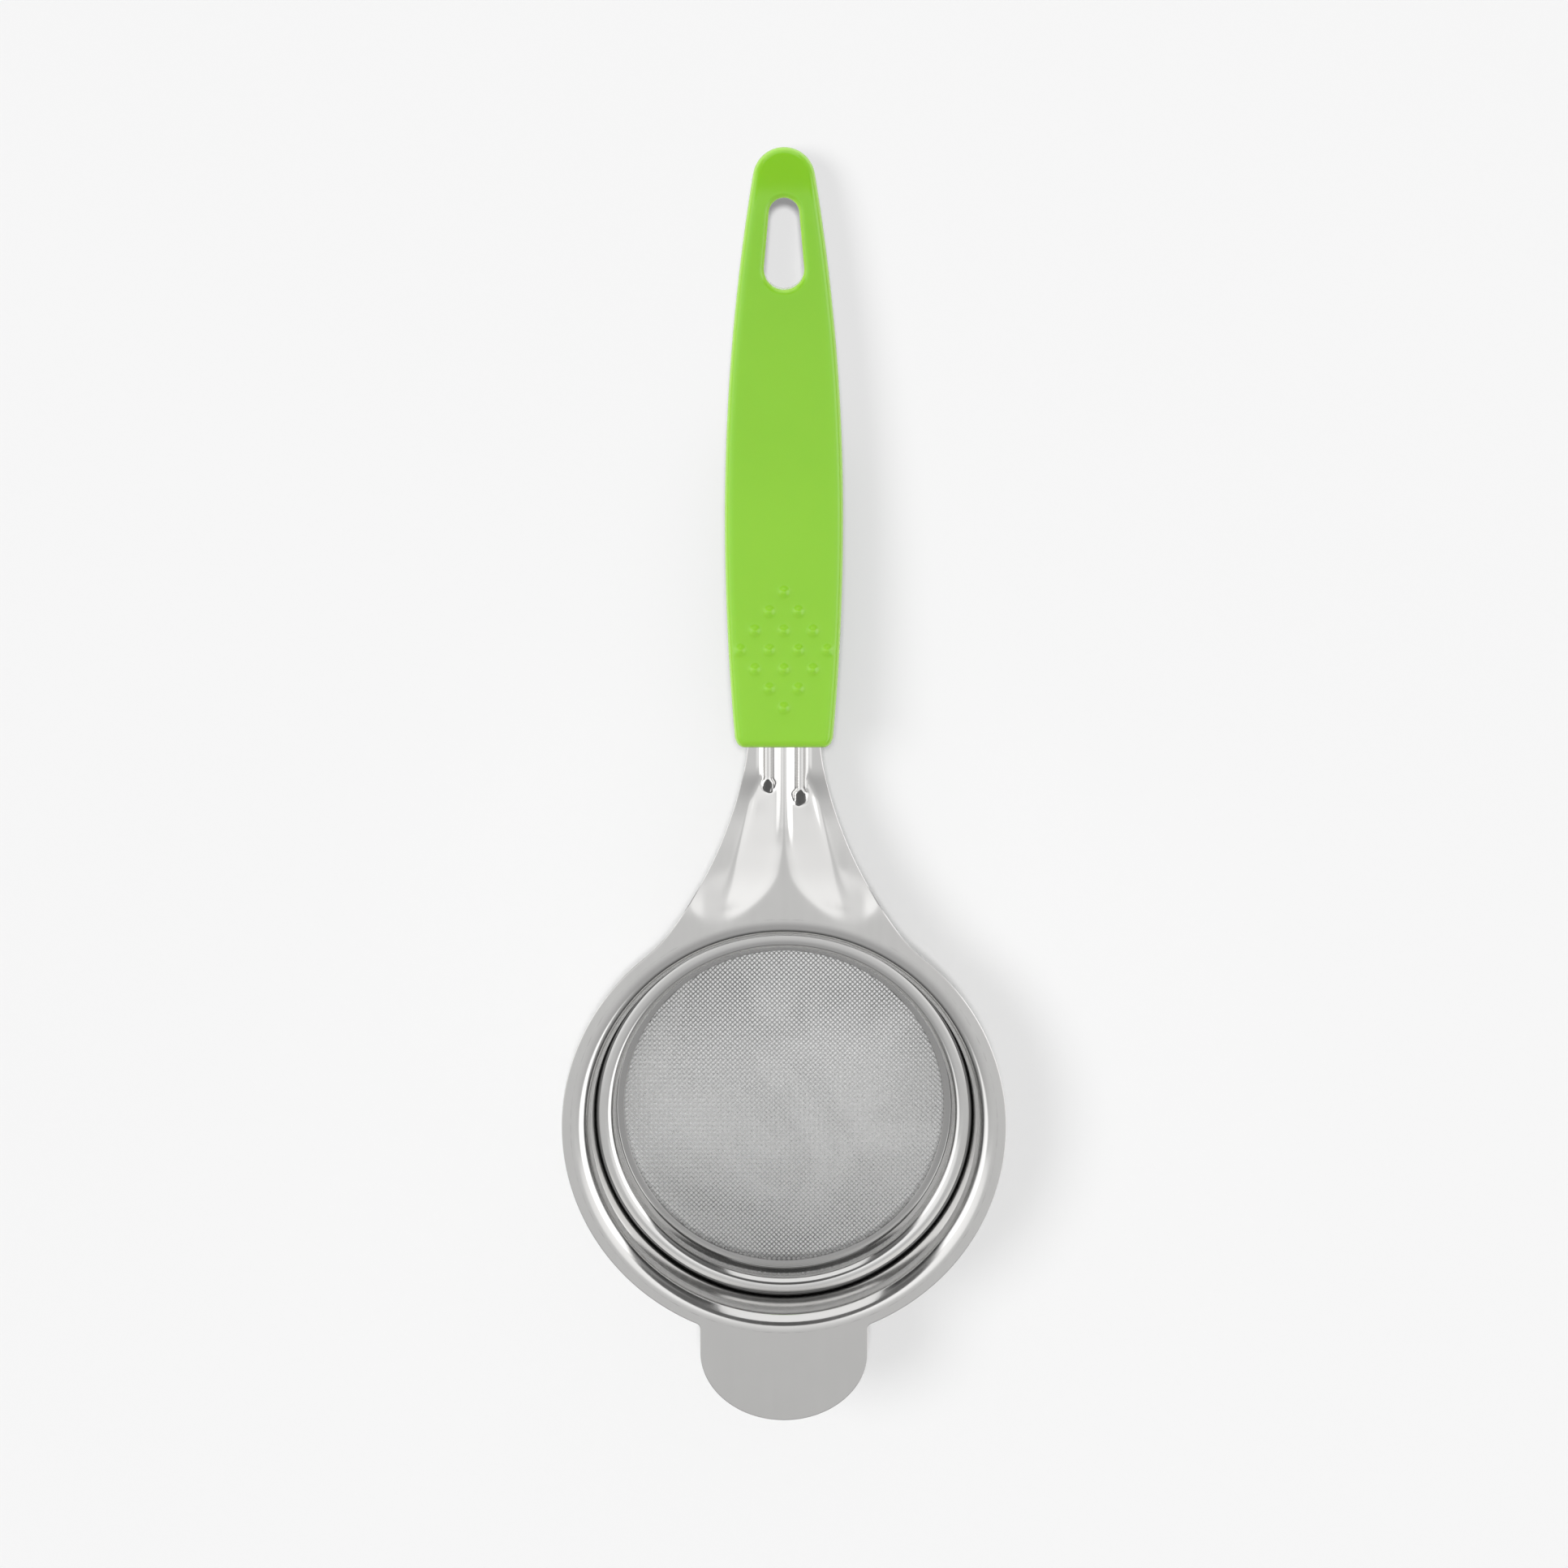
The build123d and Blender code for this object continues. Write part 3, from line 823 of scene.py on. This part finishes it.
def build_handle(material):
    """The moulded handle: top with grip dots, belly, rounded outer edge and rounded slot."""
    b = Builder()
    inner = handle_loop(EDGE_ROUND)
    guard = handle_loop(EDGE_ROUND + HANDLE_GUARD)
    slot = slot_loop(SLOT_ROUND)
    slot_guard = slot_loop(SLOT_ROUND + SLOT_GUARD)
    grid = hexagonal(-FACE_HALF, FACE_HALF, HANDLE_START + FACE_INSET, HANDLE_END - FACE_INSET, FACE_STEP)
    grid = grid[inside(guard, grid)]
    grid = grid[~inside(slot_guard, grid)]
    spots = []
    near = np.zeros(len(grid), bool)
    for cx, cy in dot_centres():
        spots.append((cx, cy))
        for share, number in DOT_RINGS:
            spots += arc((cx, cy), share * DOT_RADIUS, DOT_TURN, DOT_TURN + 360 - 360 / number, number)
        near |= np.hypot(grid[:, 0] - cx, grid[:, 1] - cy) < DOT_RADIUS + DOT_CLEAR
    spots = np.array(spots)
    spots = spots[inside(guard, spots)]
    plain = [tuple(p) for p in grid[far_from([guard, slot_guard], grid, PLAIN_GAP)]]
    dotted = np.concatenate([grid[~near], spots])
    dotted = [tuple(p) for p in dotted[far_from([guard, slot_guard], dotted, DOTTED_GAP)]]

    def keep(c):
        return inside(inner, c) & ~inside(slot, c)

    def face(points, height):
        """Top or belly: triangles between the handle's edge and the slot."""
        coords, tris = triangulate([inner, slot], [guard, slot_guard], points, keep)
        plan = np.array(coords)
        ids = b.add([(x, y, z) for (x, y), z in zip(plan, height(plan))])
        for tri in tris:
            b.faces.append(tuple(ids[i] for i in tri))
        return ids

    top = face(dotted, lambda plan: handle_top(plan[:, 0], plan[:, 1]) + bumps(plan[:, 0], plan[:, 1]))
    under = face(plain, lambda plan: handle_bottom(plan[:, 1]))

    def wall(ids_top, ids_under, loop_at, depth):
        """Side of the handle or the slot, with its edges rounded by the depth."""
        previous = ids_top
        top_in = np.array(loop_at(depth))
        z_top = handle_top(top_in[:, 0], top_in[:, 1])
        z_low = handle_bottom(top_in[:, 1])
        for k in range(1, ROUND_STEPS + 1):
            w = math.pi / 2 * k / ROUND_STEPS
            ring = np.array(loop_at(depth * (1 - math.sin(w))))
            height = z_top - depth * (1 - math.cos(w)) + bumps(ring[:, 0], ring[:, 1]) * math.cos(w)
            now = b.add([(x, y, z) for (x, y), z in zip(ring, height)])
            b.band(previous, now)
            previous = now
        ring = loop_at(0.0)
        for share in SIDE_SHARES:
            now = b.add([
                (x, y, (zt - depth) * (1 - share) + (zl + depth) * share)
                for (x, y), zt, zl in zip(ring, z_top, z_low)
            ])
            b.band(previous, now)
            previous = now
        for k in range(ROUND_STEPS):
            w = math.pi / 2 * k / ROUND_STEPS
            ring = loop_at(depth * (1 - math.cos(w)))
            now = b.add([(x, y, z + depth * (1 - math.sin(w))) for (x, y), z in zip(ring, z_low)])
            b.band(previous, now)
            previous = now
        b.band(previous, ids_under)

    n, m = len(inner), len(slot)
    wall(top[:n], under[:n], handle_loop, EDGE_ROUND)
    wall(top[n:n + m], under[n:n + m], slot_loop, SLOT_ROUND)
    return b.make("moulded_handle", material, "handle", sharp=HANDLE_SHARP)


# ---- materials ----------------------------------------------------------------------------------
class Nodes:
    """Short way to add shader nodes and link them."""

    def __init__(self, tree):
        self.tree = tree
        tree.nodes.clear()

    def add(self, kind, links=None, sockets=None, **fields):
        """One node with its fields, fixed sockets and linked sockets."""
        node = self.tree.nodes.new(kind)
        for key, value in fields.items():
            setattr(node, key, value)
        for key, value in (sockets or {}).items():
            node.inputs[key].default_value = value
        for key, source in (links or {}).items():
            self.tree.links.new(source, node.inputs[key])
        return node

    def math(self, op, a, b=None, c=None):
        """One maths node. Numbers are set on its sockets, and anything else is linked."""
        links = {}
        sockets = {}
        for i, value in enumerate((a, b, c)):
            if value is None:
                continue
            if isinstance(value, (int, float)):
                sockets[i] = value
            else:
                links[i] = value
        return self.add("ShaderNodeMath", links, sockets, operation=op).outputs[0]

    def ramp(self, source, low, high, to_low, to_high):
        """Smooth step of a value from one range to another."""
        return self.add(
            "ShaderNodeMapRange",
            {"Value": source},
            {"From Min": low, "From Max": high, "To Min": to_low, "To Max": to_high},
            interpolation_type="SMOOTHSTEP",
        ).outputs["Result"]

    def noise(self, where, scale, detail, roughness):
        """Smooth noise over places."""
        return self.add(
            "ShaderNodeTexNoise",
            {"Vector": where},
            {"Scale": scale, "Detail": detail, "Roughness": roughness},
        ).outputs["Fac"]

    def mix(self, factor, first, second):
        """Mix of two colours. The first may also be a socket to link."""
        # the Mix node repeats its socket names for each type, so the colour ones are set by place
        links = {"Factor": factor}
        if not isinstance(first, tuple):
            links[MIX_FIRST] = first
        node = self.add("ShaderNodeMix", links, data_type="RGBA")
        if isinstance(first, tuple):
            node.inputs[MIX_FIRST].default_value = (*first, 1)
        node.inputs[MIX_SECOND].default_value = (*second, 1)
        return node.outputs[MIX_RESULT]


# places of the colour sockets in a Mix node
MIX_FIRST = 6
MIX_SECOND = 7
MIX_RESULT = 2

# colours are linear
STEEL_PALE = 1.01          # the steel's colour varies between these shares of its own
STEEL_DEEP = 0.985
# near-black colour painted in as shade where the seam's crease and the lip lie in shade
PAINTED_SHADE = (0.05, 0.05, 0.05)
SHADE_SOFT = 0.2            # millimetres over which the painted shade begins
# rings with painted shade, in the seam's crease and over the lip: inner and outer radius, fade inwards, low
# and high, fade upwards, strength
SEAM_SHADE = (34.0, 34.7, 0.4, SEAT_LEVEL, LEDGE_LEVEL, 2.0, 0.82)
# painted shade over the lip, which dims its bright ring next to the mesh
LIP_SHADE = (29.0, 31.0, 0.4, LIP_LEVEL - 0.3, LIP_LEVEL + 0.2, 1.0, 0.45)

WIRE_PALE = (0.79, 0.79, 0.785)
# darker wire colour painted in as shade
WIRE_SHADED = (0.40, 0.40, 0.40)
PLASTIC_LIGHT = (0.288, 0.628, 0.029)
PLASTIC_DARK = (0.234, 0.556, 0.018)
# paler green painted on the handle's turned-down edges as light
PLASTIC_EDGE_LIGHT = (0.52, 0.92, 0.14)
FLOOR_COLOURS = ((0.9, 0.9, 0.9), (0.91, 0.91, 0.91))


def steel(name, colour, rough, grain_scale, spread, shaded_rings):
    """Polished sheet with a rolled or spun grain, worn smoother at its edges, and with shade painted dark
    into the rings it is given.
    """
    mat = bpy.data.materials.new(name)
    mat.use_nodes = True
    n = Nodes(mat.node_tree)
    where = n.add("ShaderNodeTexCoord").outputs["Object"]
    stretch = n.add("ShaderNodeMapping", {"Vector": where}, {"Scale": grain_scale}).outputs[0]
    grain = n.noise(stretch, 1.0, 4.0, 0.6)
    cloud = n.noise(where, 140.0, 3.0, 0.55)
    speck = n.noise(where, 1900.0, 2.0, 0.6)
    mixed = n.math("MULTIPLY_ADD", grain, 0.5, n.math("MULTIPLY", cloud, 0.5))
    worn = n.add("ShaderNodeNewGeometry").outputs["Pointiness"]
    edge = n.ramp(worn, 0.51, 0.58, 0.0, 1.0)
    roughness = n.ramp(mixed, 0.3, 0.7, rough - spread, rough + spread)
    roughness = n.math("MULTIPLY_ADD", edge, -0.04, roughness)
    tone = n.ramp(mixed, 0.25, 0.75, 0.0, 1.0)
    paint = n.mix(tone, tuple(c * STEEL_DEEP for c in colour), tuple(c * STEEL_PALE for c in colour))
    bump = n.add("ShaderNodeBump", {"Height": speck}, {"Strength": 0.04, "Distance": 0.00002})
    bump = n.add(
        "ShaderNodeBump",
        {"Height": grain, "Normal": bump.outputs[0]},
        {"Strength": 0.05, "Distance": 0.00003},
    )
    x, y, z = n.add("ShaderNodeSeparateXYZ", {"Vector": where}).outputs
    radius = n.math("SQRT", n.math("MULTIPLY_ADD", x, x, n.math("MULTIPLY", y, y)))
    # painted shade: each ring given is mixed towards near-black, standing in for the shade in creases
    for r0, r1, inner_soft, z0, z1, above, strength in shaded_rings:
        ring = n.math(
            "MULTIPLY",
            n.ramp(radius, (r0 - inner_soft) * MM, r0 * MM, 0.0, 1.0),
            n.ramp(radius, r1 * MM, (r1 + SHADE_SOFT) * MM, 1.0, 0.0),
        )
        low = n.math(
            "MULTIPLY",
            n.ramp(z, (z0 - SHADE_SOFT) * MM, z0 * MM, 0.0, 1.0),
            n.ramp(z, z1 * MM, (z1 + above) * MM, strength, 0.0),
        )
        paint = n.mix(n.math("MULTIPLY", ring, low), paint, PAINTED_SHADE)
    shader = n.add(
        "ShaderNodeBsdfPrincipled",
        {"Base Color": paint, "Roughness": roughness, "Normal": bump.outputs[0]},
        {"Metallic": 1.0},
    )
    n.add("ShaderNodeOutputMaterial", {"Surface": shader.outputs[0]})
    return mat


def wire(name):
    """Drawn wire, with shade painted in towards the front and the back of the cloth and in soft patches."""
    mat = bpy.data.materials.new(name)
    mat.use_nodes = True
    n = Nodes(mat.node_tree)
    where = n.add("ShaderNodeTexCoord").outputs["Object"]
    y = n.add("ShaderNodeSeparateXYZ", {"Vector": where}).outputs[1]
    wave_shade = n.add(
        "ShaderNodeTexNoise", {"Vector": where}, {"Scale": 55.0, "Detail": 2.0, "Distortion": 1.2}
    ).outputs["Fac"]
    fine = n.add("ShaderNodeTexNoise", {"Vector": where}, {"Scale": 2600.0, "Detail": 2.0}).outputs["Fac"]
    # painted shade: the cloth is darkened near its front and back ends, where the rim shades it, and in soft
    # patches for the shading of its waves
    front = n.ramp(y, -0.029, -0.004, 1.0, 0.0)
    back = n.ramp(y, 0.006, 0.029, 0.0, 0.9)
    wire_shade = n.math("MAXIMUM", front, back)
    wire_shade = n.math("ADD", n.math("MULTIPLY", wire_shade, 0.85), n.ramp(wave_shade, 0.35, 0.65, -0.1, 0.22))
    paint = n.mix(wire_shade, WIRE_PALE, WIRE_SHADED)
    rough = n.ramp(fine, 0.3, 0.7, 0.24, 0.36)
    bump = n.add("ShaderNodeBump", {"Height": fine}, {"Strength": 0.05, "Distance": 0.00002})
    shader = n.add(
        "ShaderNodeBsdfPrincipled",
        {"Base Color": paint, "Roughness": rough, "Normal": bump.outputs[0]},
        {"Metallic": 1.0},
    )
    n.add("ShaderNodeOutputMaterial", {"Surface": shader.outputs[0]})
    return mat


def plastic(name):
    """Glossy lime plastic, deeper in colour towards the tip and in soft clouds."""
    mat = bpy.data.materials.new(name)
    mat.use_nodes = True
    n = Nodes(mat.node_tree)
    where = n.add("ShaderNodeTexCoord").outputs["Object"]
    cloud = n.noise(where, 45.0, 3.0, 0.5)
    fine = n.noise(where, 900.0, 3.0, 0.55)
    y = n.add("ShaderNodeSeparateXYZ", {"Vector": where}).outputs[1]
    along = n.ramp(y, 0.07, 0.168, 1.0, 0.2)
    tone = n.math("ADD", n.ramp(cloud, 0.3, 0.7, -0.1, 0.1), along)
    paint = n.mix(tone, PLASTIC_DARK, PLASTIC_LIGHT)
    # painted light: the plastic is painted paler where it turns down, for the light lines along its edges
    normal = n.add("ShaderNodeTexCoord").outputs["Normal"]
    facing_up = n.add("ShaderNodeSeparateXYZ", {"Vector": normal}).outputs[2]
    paint = n.mix(n.ramp(facing_up, 0.5, 0.99, 0.85, 0.0), paint, PLASTIC_EDGE_LIGHT)
    worn = n.add("ShaderNodeNewGeometry").outputs["Pointiness"]
    edge = n.ramp(worn, 0.52, 0.62, 0.0, 1.0)
    rough = n.math("MULTIPLY_ADD", edge, 0.06, n.ramp(fine, 0.3, 0.7, 0.13, 0.2))
    bump = n.add("ShaderNodeBump", {"Height": fine}, {"Strength": 0.06, "Distance": 0.00004})
    shader = n.add(
        "ShaderNodeBsdfPrincipled",
        {"Base Color": paint, "Roughness": rough, "Normal": bump.outputs[0]},
        {
            "Subsurface Weight": 0.35,
            "Subsurface Radius": (0.6, 1.0, 0.2),
            "Subsurface Scale": 0.003,
            "IOR": 1.49,
            "Coat Weight": 0.35,
            "Coat Roughness": 0.06,
        },
    )
    n.add("ShaderNodeOutputMaterial", {"Surface": shader.outputs[0]})
    return mat


def floor_paint(name):
    """Matt, very pale floor."""
    mat = bpy.data.materials.new(name)
    mat.use_nodes = True
    n = Nodes(mat.node_tree)
    where = n.add("ShaderNodeTexCoord").outputs["Object"]
    cloud = n.add("ShaderNodeTexNoise", {"Vector": where}, {"Scale": 9.0, "Detail": 2.0})
    paint = n.mix(cloud.outputs["Fac"], *FLOOR_COLOURS)
    shader = n.add(
        "ShaderNodeBsdfPrincipled",
        {"Base Color": paint},
        {"Roughness": 0.9, "Specular IOR Level": 0.1},
    )
    n.add("ShaderNodeOutputMaterial", {"Surface": shader.outputs[0]})
    return mat


# ---- light --------------------------------------------------------------------------------------
CAMERA_TILT = 10           # degrees from straight down, towards the handle
# the ceiling's level from front to back, over a range in degrees fore and aft of straight up
CEILING_FRONT = 0.42
CEILING_BACK = 0.92
CEILING_RANGE = (-50, 25)
# the room low down is darker: its share of the ceiling's level, and over what heights it takes over
ROOM = 0.12
ROOM_RANGE = (0.05, 0.5)
LEAST_LIGHT = 0.02
# boxes of light: from and to across, then fore and aft (degrees from straight up), edge, level
SOFTBOXES = [
    (-50, -7, -12.6, 60, 4, 0.32),
    (-74, -46, -45, 50, 5, 0.70),
    (7, 40, -12.6, 60, 4, 0.26),
    (40, 72, -50, 50, 5, 1.10),
]
# the dark stand over the handle: from, to and edge of its bearing and of its angle fore and aft
STAND_BEARING = (-66, 66, 4)
STAND_ALONG = (14, 78, 2.5)
STAND_DARK = -0.88
# the bright panel seen past it: from, to and edge of its bearing and of its angle from straight up
PANEL_BEARING = (-38, 25, 1.5)
PANEL_POLAR = (39, 100, 2)
PANEL_LEVEL = 0.98
# name, energy, spread, tilt to the left and tilt to the back in degrees
LAMPS = [
    ("over_camera", 1.68, 8, 0, CAMERA_TILT),
    ("from_left", 0.76, 28, 35, 6),
    ("all_round", 0.98, 140, 0, 0),
]


def make_world():
    """Soft studio round the object: a graded ceiling, light boxes, and the dark room low down."""
    world = bpy.data.worlds.new("studio")
    bpy.context.scene.world = world
    world.use_nodes = True
    n = Nodes(world.node_tree)
    where = n.add("ShaderNodeTexCoord").outputs["Generated"]
    x, y, z = n.add("ShaderNodeSeparateXYZ", {"Vector": where}).outputs
    across = n.math("ARCTAN2", x, z)
    along = n.math("ARCTAN2", y, z)
    front, back = (math.radians(a) for a in CEILING_RANGE)
    ceiling = n.ramp(along, front, back, CEILING_FRONT, CEILING_BACK)
    room = n.ramp(z, *ROOM_RANGE, ROOM, 1.0)
    total = n.math("MULTIPLY", ceiling, room)

    def mask(value, low, high, soft):
        """1 between two angles, with soft edges."""
        start = n.ramp(value, math.radians(low - soft), math.radians(low + soft), 0.0, 1.0)
        stop = n.ramp(value, math.radians(high - soft), math.radians(high + soft), 1.0, 0.0)
        return n.math("MULTIPLY", start, stop)

    for a0, a1, b0, b1, soft, level in SOFTBOXES:
        both = n.math("MULTIPLY", mask(across, a0, a1, soft), mask(along, b0, b1, soft / 4))
        total = n.math("MULTIPLY_ADD", both, level, total)
    bearing = n.math("ARCTAN2", x, y)
    polar = n.math("ARCCOSINE", z)
    stand = n.math("MULTIPLY", mask(bearing, *STAND_BEARING), mask(along, *STAND_ALONG))
    total = n.math("MULTIPLY", total, n.math("MULTIPLY_ADD", stand, STAND_DARK, 1.0))
    panel = n.math("MULTIPLY", mask(bearing, *PANEL_BEARING), mask(polar, *PANEL_POLAR))
    total = n.math("MAXIMUM", total, n.math("MULTIPLY", panel, PANEL_LEVEL))
    total = n.math("MAXIMUM", total, LEAST_LIGHT)
    backdrop = n.add("ShaderNodeBackground", {"Strength": total}, {"Color": (1.0, 1.0, 1.0, 1)})
    n.add("ShaderNodeOutputWorld", {"Surface": backdrop.outputs[0]})
    world.cycles_visibility.diffuse = False


def make_lamp(name, energy, spread, side, back):
    """Soft sun that lights the floor and the handle and isn't mirrored in the steel."""
    data = bpy.data.lights.new(name, "SUN")
    data.energy = energy
    data.angle = math.radians(spread)
    lamp = bpy.data.objects.new(name, data)
    bpy.context.scene.collection.objects.link(lamp)
    lamp.rotation_euler = (math.radians(-back), math.radians(-side), 0)
    lamp.visible_glossy = False


# ---- floor and camera ---------------------------------------------------------------------------
FLOOR_HALF = 6.0           # metres
FLOOR_CELLS = 8
STEEPEST_REST = 0.3        # slope that the search for the resting plane starts from
HALVINGS = 40
CAMERA_DISTANCE = 0.62     # metres
CAMERA_LENS = 80.53        # millimetres, on a sensor this wide
CAMERA_SENSOR = 36
CAMERA_CLIP = (0.05, 20)   # metres
AIM_SHIFT = (0, 0.0036, 0.0058)     # metres, from the object's middle to where the camera aims


def resting_line(foot, handle):
    """Slope and height of the plane that touches the foot and the handle's end from below."""
    def points(obj):
        co = np.array([v.co for v in obj.data.vertices])
        return co[:, 1], co[:, 2]

    (fy, fz), (hy, hz) = points(foot), points(handle)
    low, high = 0.0, STEEPEST_REST
    for _ in range(HALVINGS):
        slope = (low + high) / 2
        if (fz - slope * fy).min() < (hz - slope * hy).min():
            low = slope
        else:
            high = slope
    return low, (fz - low * fy).min()


def make_floor(material, foot, handle):
    """The sieve is heavier at its handle, so it rests on its foot's back edge and the handle's end."""
    slope, height = resting_line(foot, handle)
    mesh = bpy.data.meshes.new("floor")
    work = bmesh.new()
    bmesh.ops.create_grid(work, x_segments=FLOOR_CELLS, y_segments=FLOOR_CELLS, size=FLOOR_HALF)
    work.to_mesh(mesh)
    work.free()
    mesh.materials.append(material)
    floor = bpy.data.objects.new("floor", mesh)
    bpy.context.scene.collection.objects.link(floor)
    middle = (cad_low.y + cad_high.y) / 2
    floor.location = (0, middle, height + slope * middle)
    floor.rotation_euler = (math.atan(slope), 0, 0)


def make_camera():
    """Camera at a slight tilt from straight down, on the handle's side."""
    tilt = math.radians(CAMERA_TILT)
    middle = Vector((0, (cad_low.y + cad_high.y) / 2, (cad_low.z + cad_high.z) / 2))
    data = bpy.data.cameras.new("camera")
    data.sensor_width = CAMERA_SENSOR
    data.lens = CAMERA_LENS
    data.clip_start, data.clip_end = CAMERA_CLIP
    camera = bpy.data.objects.new("camera", data)
    bpy.context.scene.collection.objects.link(camera)
    away = CAMERA_DISTANCE * Vector((0, math.sin(tilt), math.cos(tilt)))
    camera.location = middle + Vector(AIM_SHIFT) + away
    camera.rotation_euler = (-tilt, 0, 0)
    bpy.context.scene.camera = camera


# ---- the scene ----------------------------------------------------------------------------------
bpy.context.scene.view_settings.view_transform = "Standard"
make_world()
for lamp in LAMPS:
    make_lamp(*lamp)
make_camera()
frame_steel = steel("frame_steel", (0.765, 0.758, 0.747), 0.13, (900, 60, 900), 0.03, (SEAM_SHADE,))
ring_steel = steel("ring_steel", (0.74, 0.735, 0.725), 0.12, (300, 300, 60), 0.03, (SEAM_SHADE, LIP_SHADE))
wire_steel = wire("wire_steel")
green = plastic("lime_plastic")
build_rim(frame_steel)
build_ring(ring_steel)
foot = build_band(ring_steel)
build_wires("warp_weave", wire_steel, "warp_wires", math.radians(45), 0)
build_wires("weft_weave", wire_steel, "weft_wires", math.radians(135), 1)
handle = build_handle(green)
handle.visible_diffuse = False
make_floor(floor_paint("pale_floor"), foot, handle)
